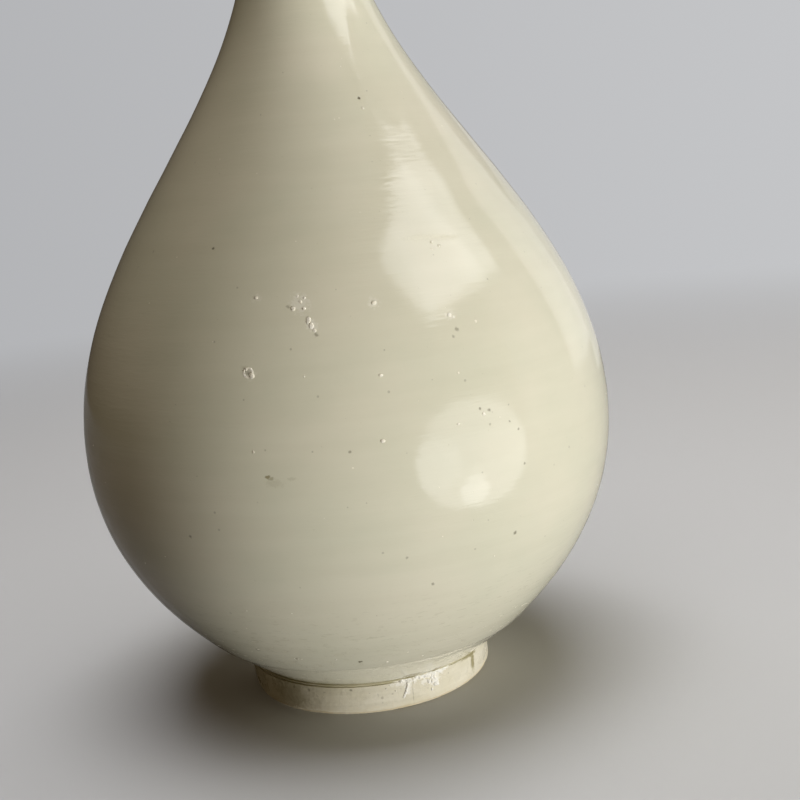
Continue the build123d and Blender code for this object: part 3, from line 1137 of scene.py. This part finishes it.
RING_SPECKS = [(-31.8, 7.5, 0.45, 0.4), (-11.2, 8.1, 0.5, 0.6), (2.2, 4.6, 0.45, 0.3),
               (7.3, 5.4, 0.4, 0.35), (-24, 7.2, 0.4, 0.25), (-40, 7.7, 0.5, 0.3), (24, 4.4, 0.3, 0.3),
               (-3, 6.6, 0.3, 0.25), (-17, 2.6, 0.3, 0.25), (36, 6.8, 0.35, 0.3)]
RUN = [(49.5, 8.6, 3.6, 0.8, 0.8), (53.5, 8.4, 3.4, 0.9, 0.85), (54.2, 5.8, 1.5, 4.4, 0.8)]
SMEARS = [(13, 8.6, 4.5, 1.7), (20, 8.9, 5.0, 1.4), (27, 8.6, 5.0, 1.6), (33, 9.0, 3.0, 1.0),
          (27.8, 6.6, 2.6, 2.6), (14.4, 6.2, 1.5, 3.2), (23, 7.0, 2.2, 1.2)]


def ring_marks(tree, ragged):
    """The dark specks of the ring's wall."""
    places = [(on_ring(a, h * MM), (r, r, r), s) for a, h, r, s in RING_SPECKS]
    return marks(tree, places, ragged)


def make_foot_glaze(name, with_marks):
    """The thin coat on the foot's wall, or in its recess without the marks."""
    glaze, tree, shader = new_glaze(name, IOR=1.48)
    height = height_of(tree)
    ragged = calc(tree, "MULTIPLY", calc(tree, "SUBTRACT", clouds(tree, 1.0), 0.5), 0.9)
    tone = blend(tree, clouds(tree, 11, 1.5), CREAM, CREAM_PALE)
    tone = blend(tree, calc(tree, "MULTIPLY", clouds(tree, 20, 12), 0.16), tone, OLIVE_STAIN)
    tone = blend(tree, calc(tree, "MULTIPLY", specks(tree, 3.2, 0.2), 0.24), tone, IRON)
    wiped = steps(tree, total(tree, height, calc(tree, "MULTIPLY", ragged, 2.2 * MM)), 0.8 * MM, 2.6 * MM, 1.0, 0.0)
    tone = blend(tree, calc(tree, "MULTIPLY", wiped, 0.12), tone, OCHRE)
    rough = total(tree, 0.2, calc(tree, "MULTIPLY", clouds(tree, 4), 0.16), calc(tree, "MULTIPLY", wiped, 0.3))
    if with_marks:
        stained = [(on_ring(-41, 5.6 * MM), (11, 14, 6.5), 0.6), (on_ring(-24, 8.0 * MM), (9, 9, 2.4), 0.35),
                   (on_ring(-74, 6.0 * MM), (8, 14, 7.0), 0.5), (on_ring(150, 6.0 * MM), (14, 14, 6), 0.5)]
        mottled = steps(tree, clouds(tree, 4.5), 0.1, 0.9, 0.6, 1.0)
        stain = calc(tree, "MULTIPLY", marks(tree, stained, calc(tree, "MULTIPLY", ragged, 0.5)), mottled)
        tone = blend(tree, stain, tone, OLIVE_STAIN)
        run = [(on_ring(a, h * MM), (w, w, r), s) for a, h, w, r, s in RUN]
        tone = blend(tree, marks(tree, run, calc(tree, "MULTIPLY", ragged, 0.35)), tone, OLIVE)
        smears = [(on_ring(a, h * MM), (w, w, r), 0.85) for a, h, w, r in SMEARS]
        tone = blend(tree, marks(tree, smears, ragged), tone, WHITE_SMEAR)
        crack = marks(tree, [(on_ring(16.6, 3.4 * MM), (0.16, 0.5, 4.2), 0.36)], ragged)
        dark = most(tree, ring_marks(tree, ragged), crack)
        tone = blend(tree, dark, tone, IRON)
    bumps = total(tree, calc(tree, "MULTIPLY", clouds(tree, 18, 13), 0.02),
                  calc(tree, "MULTIPLY", clouds(tree, 1.6), 0.035))
    tree.links.new(tone, shader["Base Color"])
    tree.links.new(rough, shader["Roughness"])
    tree.links.new(raised(tree, bumps), shader["Normal"])
    return glaze


foot_glaze = make_foot_glaze("thin foot glaze", True)
recess_glaze = make_foot_glaze("thin recess glaze", False)

# %% [markdown]
# Thick glaze is darker, because light goes further through it. In the grooves over the ring
# it is olive, partly its own colour and partly painted shade where the grooves lie in shadow,
# and on the ridge between them it is nearly ivory. It is painted darkest on the left of the
# front, as painted shadow on the shaded side. Two patches by the crust are thick again.

# %% Pooled glaze material
def make_pool_glaze():
    """Olive in the grooves, partly painted shade and darkest on the shaded left, ivory on the ridge."""
    glaze, tree, shader = new_glaze("pooled olive glaze", IOR=1.5)
    where = add(tree, "ShaderNodeSeparateXYZ", {0: place_of(tree)}).outputs
    ragged = calc(tree, "MULTIPLY", calc(tree, "SUBTRACT", clouds(tree, 1.6), 0.5), 0.9)
    upper = steps(tree, where[2], 9.72 * MM, 9.98 * MM)
    lower = steps(tree, where[2], 9.06 * MM, 9.34 * MM, 1.0, 0.0)
    left = left_front(tree)
    amount = steps(tree, clouds(tree, 24), 0.2, 0.9, 0.35, 1.0)
    amount = calc(tree, "MULTIPLY", amount, calc(tree, "MAXIMUM", left, 0.32))
    tone = blend(tree, clouds(tree, 8), colour(208, 201, 172), colour(190, 183, 148))
    # The olive in the grooves is partly pooled glaze and partly painted shade, stronger on the left.
    groove_olive_and_shade = calc(tree, "MULTIPLY", most(tree, upper, lower), amount)
    tone = blend(tree, groove_olive_and_shade, tone, OLIVE)
    # Painted shadow: the grooves on the shaded left of the front are darkened further.
    deep = calc(tree, "MULTIPLY", calc(tree, "MULTIPLY", groove_olive_and_shade, left), steps(tree, clouds(tree, 6), 0, 1, 0.4, 1))
    tone = blend(tree, calc(tree, "MULTIPLY", deep, 0.8), tone, PAINTED_OLIVE_SHADOW)
    patches = [(on_ring(15.6, 10.0 * MM), (3.0, 3.0, 0.7), 0.9), (on_ring(27.4, 9.9 * MM), (2.4, 2.4, 0.7), 0.9)]
    patches += [(on_ring(angle, 9.2 * MM), (3.4, 3.4, 0.5), 0.7) for angle in (39, 43, 47, 51, 55)]
    tone = blend(tree, marks(tree, patches, ragged), tone, OLIVE)
    smear = marks(tree, [(on_ring(angle, 9.1 * MM), (4, 4, 0.8), 0.85) for angle in (12, 18, 24, 30, 34)], ragged)
    tone = blend(tree, smear, tone, WHITE_SMEAR)
    tree.links.new(tone, shader["Base Color"])
    tree.links.new(steps(tree, clouds(tree, 3), 0, 1, 0.06, 0.16), shader["Roughness"])
    tree.links.new(raised(tree, calc(tree, "MULTIPLY", clouds(tree, 1.4), 0.012)), shader["Normal"])
    return glaze


pool_glaze = make_pool_glaze()

# %% [markdown]
# The crust is glaze that froze while it boiled: nearly white, rough, with a little dirt in
# its hollows. The bare clay of the ring is buff and matt, flushed ochre by the fire, and the
# slip in the joints is the same clay, finer and paler.

# %% Crust, clay and slip
def make_crust_glaze():
    """White, dry and pitted."""
    glaze, tree, shader = new_glaze("white crust", IOR=1.48)
    tone = blend(tree, clouds(tree, 0.9), colour(250, 248, 240), colour(240, 235, 218))
    tone = blend(tree, calc(tree, "MULTIPLY", specks(tree, 0.9, 0.12), 0.5), tone, GRIME)
    tree.links.new(tone, shader["Base Color"])
    tree.links.new(steps(tree, clouds(tree, 0.7), 0, 1, 0.25, 0.6), shader["Roughness"])
    tree.links.new(raised(tree, calc(tree, "MULTIPLY", clouds(tree, 0.4), 0.06)), shader["Normal"])
    return glaze


def make_clay(name, pale, deep, grain_mm):
    """Fired clay: two tones in clouds, grit of a size, matt."""
    clay, tree, shader = new_glaze(name, IOR=1.45)
    tone = blend(tree, clouds(tree, 16), pale, deep)
    tone = blend(tree, calc(tree, "MULTIPLY", specks(tree, 2.4, 0.2), 0.6), tone, IRON)
    edge = steps(tree, height_of(tree), 0.15 * MM, 1.3 * MM, 1.0, 0.0)
    flush = calc(tree, "MULTIPLY", edge, steps(tree, clouds(tree, 9), 0.1, 0.8, 0.0, 0.22))
    tone = blend(tree, flush, tone, OCHRE)
    grit = calc(tree, "MULTIPLY", clouds(tree, grain_mm), 0.06)
    turned_lines = calc(tree, "MULTIPLY", clouds(tree, 20, 14), 0.03)
    tree.links.new(tone, shader["Base Color"])
    tree.links.new(steps(tree, clouds(tree, 3), 0, 1, 0.62, 0.85), shader["Roughness"])
    tree.links.new(raised(tree, total(tree, grit, turned_lines)), shader["Normal"])
    return clay


crust_glaze = make_crust_glaze()
biscuit = make_clay("biscuit clay", colour(218, 209, 184), colour(204, 192, 160), 0.6)
slip = make_clay("fired slip", colour(216, 207, 182), colour(206, 194, 164), 0.35)
print("materials:", ", ".join(m.name for m in (ivory, foot_glaze, pool_glaze, crust_glaze, biscuit, slip)))

# %% [markdown]
# Each piece is listed with its material, the record's slot that it takes its finish from, and
# the CAD node that it stands for. It gets the material and its CAD node is hidden; the slot is
# not used here. The clay sections and the slip inside keep their CAD meshes, and only the
# material in their slots changes.

# %% Dress the pieces
DRESS = [
    (outer_coat, ivory, "ivory_glaze", "outer_glaze"),
    (cavity_coat, cavity_ivory, "ivory_glaze", "inner_glaze"),
    (foot_ring, biscuit, "clay_body", "foot_ring"),
    (foot_coat, foot_glaze, "thin_foot_glaze", "foot_glaze"),
    (pool, pool_glaze, "pooled_olive_glaze", "pooled_glaze"),
    (recess_coat, recess_glaze, "thin_foot_glaze", "recess_glaze"),
    (crust, crust_glaze, "white_crust", "glaze_crust"),
    (blemishes, blister, "ivory_glaze", None),
]

for piece, material, slot, node in DRESS:
    piece.data.materials.clear()
    piece.data.materials.append(material)
    piece.vertex_groups.clear()
    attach(piece, "root")
    if node:
        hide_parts(node)

for name in ("lower_bowl", "upper_body", "neck_and_mouth"):
    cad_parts[name].material_slots[0].material = biscuit
for name in ("belly_seam_slip", "neck_seam_slip", "foot_slip"):
    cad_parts[name].material_slots[0].material = slip
print("dressed", len(DRESS), "new pieces")

# %% [markdown]
# The vase stands on a pale table that runs into a pale backdrop. The table is a plain
# diffuse surface near the vase, where it holds the shadow, and turns into the backdrop's
# own light further away, so no horizon shows. A ray that lights the vase meets a darker
# table and world, which keeps the shaded side of the pot as deep as a dim room would.

# %% Table and backdrop
# Painted light: the backdrop and the table near the vase are darker on the left and lighter on the right.
BACKDROP = colour(172, 173, 176), colour(200, 201, 203)
GLOSS_BACKDROP = colour(84, 83, 84), colour(168, 168, 168)
TABLE_DARK = colour(62, 60, 58)
ROOM_LIGHT = (1.0, 0.76, 0.46, 1)
ROOM_STRENGTH = 0.14
CARD_RADIUS = 1.3


def seen(tree, *kinds):
    """1 for a ray of one of the kinds."""
    path = add(tree, "ShaderNodeLightPath").outputs
    return most(tree, *[path[f"Is {kind} Ray"] for kind in kinds])


def backdrop(tree, sideways):
    """The backdrop's colour, painted lighter from its left to its right, darker where gloss shows it."""
    share = steps(tree, sideways, -0.8, 0.8)
    in_gloss = blend(tree, share, *GLOSS_BACKDROP)
    return blend(tree, seen(tree, "Camera"), in_gloss, blend(tree, share, *BACKDROP))


def make_table():
    """A wide disc under the vase."""
    bpy.ops.object.select_all(action="DESELECT")
    bpy.ops.mesh.primitive_circle_add(vertices=96, radius=6.0, fill_type="NGON", location=(0, 0, -0.05 * MM))
    table = bpy.context.object
    table.name = "pale_table"
    material = bpy.data.materials.new("pale table")
    material.use_nodes = True
    tree = material.node_tree
    tree.nodes.clear()
    where = add(tree, "ShaderNodeSeparateXYZ", {0: place_of(tree)}).outputs
    away = add(tree, "ShaderNodeVectorMath", {0: place_of(tree)}, operation="LENGTH").outputs["Value"]
    sideways = calc(tree, "DIVIDE", where[0], calc(tree, "ADD", away, 0.4))
    shown = backdrop(tree, sideways)
    paint = blend(tree, seen(tree, "Camera", "Glossy", "Transmission"), TABLE_DARK, shown)
    near = add(tree, "ShaderNodeBsdfDiffuse", {"Color": paint}).outputs[0]
    far = add(tree, "ShaderNodeEmission", {"Color": paint, "Strength": 1.0}).outputs[0]
    share = steps(tree, away, 0.25, 1.3)
    mixed = add(tree, "ShaderNodeMixShader", {0: share, 1: near, 2: far}).outputs[0]
    add(tree, "ShaderNodeOutputMaterial", {"Surface": mixed})
    table.data.materials.append(material)
    return table


def make_world():
    """The backdrop for rays that show it, and a dim warm room for the rest."""
    world = bpy.data.worlds.new("studio")
    world.use_nodes = True
    tree = world.node_tree
    tree.nodes.clear()
    way = add(tree, "ShaderNodeTexCoord").outputs["Generated"]
    sideways = add(tree, "ShaderNodeSeparateXYZ", {0: way}).outputs[0]
    shown = add(tree, "ShaderNodeBackground", {"Color": backdrop(tree, sideways), "Strength": 1.0})
    room = add(tree, "ShaderNodeBackground", {"Color": ROOM_LIGHT, "Strength": ROOM_STRENGTH})
    sockets = {0: seen(tree, "Camera", "Glossy", "Transmission"), 1: room.outputs[0], 2: shown.outputs[0]}
    mixed = add(tree, "ShaderNodeMixShader", sockets).outputs[0]
    add(tree, "ShaderNodeOutputWorld", {"Surface": mixed})
    bpy.context.scene.world = world


def make_dark_card():
    """A dark round card from the right of the front to the back, which only gloss shows."""
    foot, head = Vector((CARD_RADIUS, 0, -0.3)), Vector((CARD_RADIUS, 0, 2.6))
    card = turned_part([line(foot, head)], "dark_card", 75, -175)
    card.visible_camera = card.visible_diffuse = card.visible_transmission = False
    card.visible_shadow = False
    material = bpy.data.materials.new("dark card")
    material.use_nodes = True
    tree = material.node_tree
    tree.nodes.clear()
    paint = add(tree, "ShaderNodeEmission", {"Color": colour(60, 54, 48), "Strength": 1.0})
    add(tree, "ShaderNodeOutputMaterial", {"Surface": paint.outputs[0]})
    card.data.materials.append(material)


def turned_part(strokes, name, first, last):
    """Strokes in the XZ plane, spun from one angle round the front to another."""
    outline = join(strokes, name)
    bpy.ops.object.mode_set(mode="EDIT")
    bpy.ops.mesh.select_all(action="SELECT")
    bpy.ops.transform.rotate(value=radians(90 - first), orient_axis="Z", center_override=(0, 0, 0))
    bpy.ops.mesh.spin(steps=100, angle=radians(first - last), center=(0, 0, 0), axis=(0, 0, 1))
    bpy.ops.object.mode_set(mode="OBJECT")
    return outline


table = make_table()
make_dark_card()
make_world()

# %% [markdown]
# Gloss shows the shape of every lamp, and the real vase shows two windows and a bright
# wall, all on its right. So the lamps come in two kinds. Soft lamps give the light and
# aren't seen in the gloss. Window-shaped lamps are seen in the gloss alone: the panes of a
# tall window high on the right, a round one low down, and a wall further round.

# %% Lamps
WATTS_PER_RADIANCE = 4.0
TALL_WINDOW_ANGLE = 65
TALL_WINDOW_CENTRE = Vector((0.664, -0.356, 0.0))
PANES = [(-0.24, 0.30, 0.60, 1.31, 3.0), (0.30, 0.47, 0.60, 1.26, 1.9), (0.47, 0.58, 0.92, 1.20, 1.9)]
CURTAIN_BARS = 5


def lamp(name, place, aim, size, radiance, shape="RECTANGLE", gloss=True):
    """An area lamp that faces a point and is seen in gloss, or else only gives light."""
    place, aim = Vector(place), Vector(aim)
    bpy.ops.object.light_add(
        type="AREA", location=place, rotation=(aim - place).to_track_quat("-Z", "Y").to_euler()
    )
    made = bpy.context.object
    made.name = name
    made.data.shape = shape
    made.data.size, made.data.size_y = size
    area = size[0] * size[1] * (pi / 4 if shape == "ELLIPSE" else 1)
    made.data.energy = radiance * area * WATTS_PER_RADIANCE
    made.visible_camera = False
    made.visible_glossy = made.visible_transmission = gloss
    made.visible_diffuse = not gloss
    return made


def pane(number, left, right, bottom, top, radiance):
    """One upright pane of the tall window, by its edges in metres."""
    along = Vector((cos(radians(TALL_WINDOW_ANGLE)), sin(radians(TALL_WINDOW_ANGLE)), 0))
    facing = Vector((-along.y, along.x, 0))
    centre = TALL_WINDOW_CENTRE + along * (left + right) / 2
    centre.z = (bottom + top) / 2
    lamp(f"tall window pane {number}", centre, centre + facing, (right - left, top - bottom), radiance)


def soft_light(name, angle, rise, level, distance=2.5, side=1.1):
    """A soft lamp that lights a surface facing it to a level of its colour."""
    aim = Vector((0, 0, 0.11))
    place = aim + around(angle, distance * cos(radians(rise)), distance * sin(radians(rise)))
    return lamp(name, place, aim, (side, side), level * pi * (distance / side) ** 2, gloss=False)


for number, edges in enumerate(PANES, 1):
    pane(number, *edges)
for bar in range(CURTAIN_BARS):
    left, bottom = -0.28 - 0.042 * bar, 0.60 + 0.134 * bar
    pane(f"curtain {bar}", left, -0.24, bottom, bottom + 0.134, 1.3)
    pane(f"curtain edge {bar}", left - 0.05, -0.24, bottom + 0.067, min(bottom + 0.201, 1.27), 1.1)
ROUND_WINDOW_AIM = Vector((0.031, -0.076, 0.085))
lamp("low round window", (0.124, -0.155, 0.0595), ROUND_WINDOW_AIM, (0.145, 0.12), 1.5, shape="ELLIPSE")
lamp("round window sill", (0.120, -0.149, 0.025), ROUND_WINDOW_AIM, (0.035, 0.035), 1.8, shape="ELLIPSE")
lamp("round window side", (0.095, -0.188, 0.055), ROUND_WINDOW_AIM, (0.06, 0.06), 0.7, shape="ELLIPSE")
lamp("bright wall", around(124, 0.8, 0.39), (0, 0, 0.39), (0.39, 0.62), 0.45)
lamp("wall by the window", around(117.4, 0.79, 0.42), (0, 0, 0.42), (0.2, 0.56), 0.17)
lamp("back wall", around(148.5, 0.8, 0.117), (0, 0, 0.117), (0.32, 0.51), 0.22)

# %% [markdown]
# The light itself comes mostly from low on the right, as it does when a pot is held up
# beside a window, and a little from above. The low lamp shines from under the table, so
# light linking tells it which pieces it reaches and which cast its shadows: the vase alone.
# A fill behind the vase does the same for its back, and a lamp overhead lights the table.

# %% Light linking
def linked(name, things):
    """A collection that a lamp's light linking can name."""
    group = bpy.data.collections.new(name)
    for thing in things:
        group.objects.link(thing)
    return group


FLAG_PLACE = (0.0475, -0.0274, 0.2223)


def make_flag():
    """A small disc over the shoulder, which only keeps the tall window off the neck."""
    bpy.ops.object.select_all(action="DESELECT")
    towards = Vector((0.63, -0.007, 0.78)).to_track_quat("Z", "Y").to_euler()
    bpy.ops.mesh.primitive_circle_add(
        vertices=48, radius=MM, fill_type="NGON", location=FLAG_PLACE, rotation=towards
    )
    flag = bpy.context.object
    flag.scale = (15, 15, 1)
    flag.name = "window_flag"
    flag.visible_camera = flag.visible_diffuse = flag.visible_glossy = flag.visible_transmission = False
    return flag


vase_pieces = [row[0] for row in DRESS] + list(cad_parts.values())
vase_only = linked("vase", vase_pieces)
vase_and_flag = linked("vase and flag", vase_pieces + [make_flag()])
table_only = linked("table", [table])
SOFT_LIGHTS = [("low light", 50, -20, 0.82), ("high light", 35, 60, 0.27), ("back fill", 185, 12, 0.46)]
for name, angle, rise, level in SOFT_LIGHTS:
    light = soft_light(name, angle, rise, level)
    light.light_linking.receiver_collection = vase_only
overhead = lamp("table light", (0, 0, 1.6), (0, 0, 0), (1.2, 1.2), 4.6, gloss=False)
overhead.light_linking.receiver_collection = table_only
for light in [thing for thing in bpy.data.objects if thing.type == "LIGHT"]:
    behind_flag = light.name.startswith("tall window")
    light.light_linking.blocker_collection = vase_and_flag if behind_flag else vase_only

bpy.context.scene.view_settings.view_transform = "Standard"
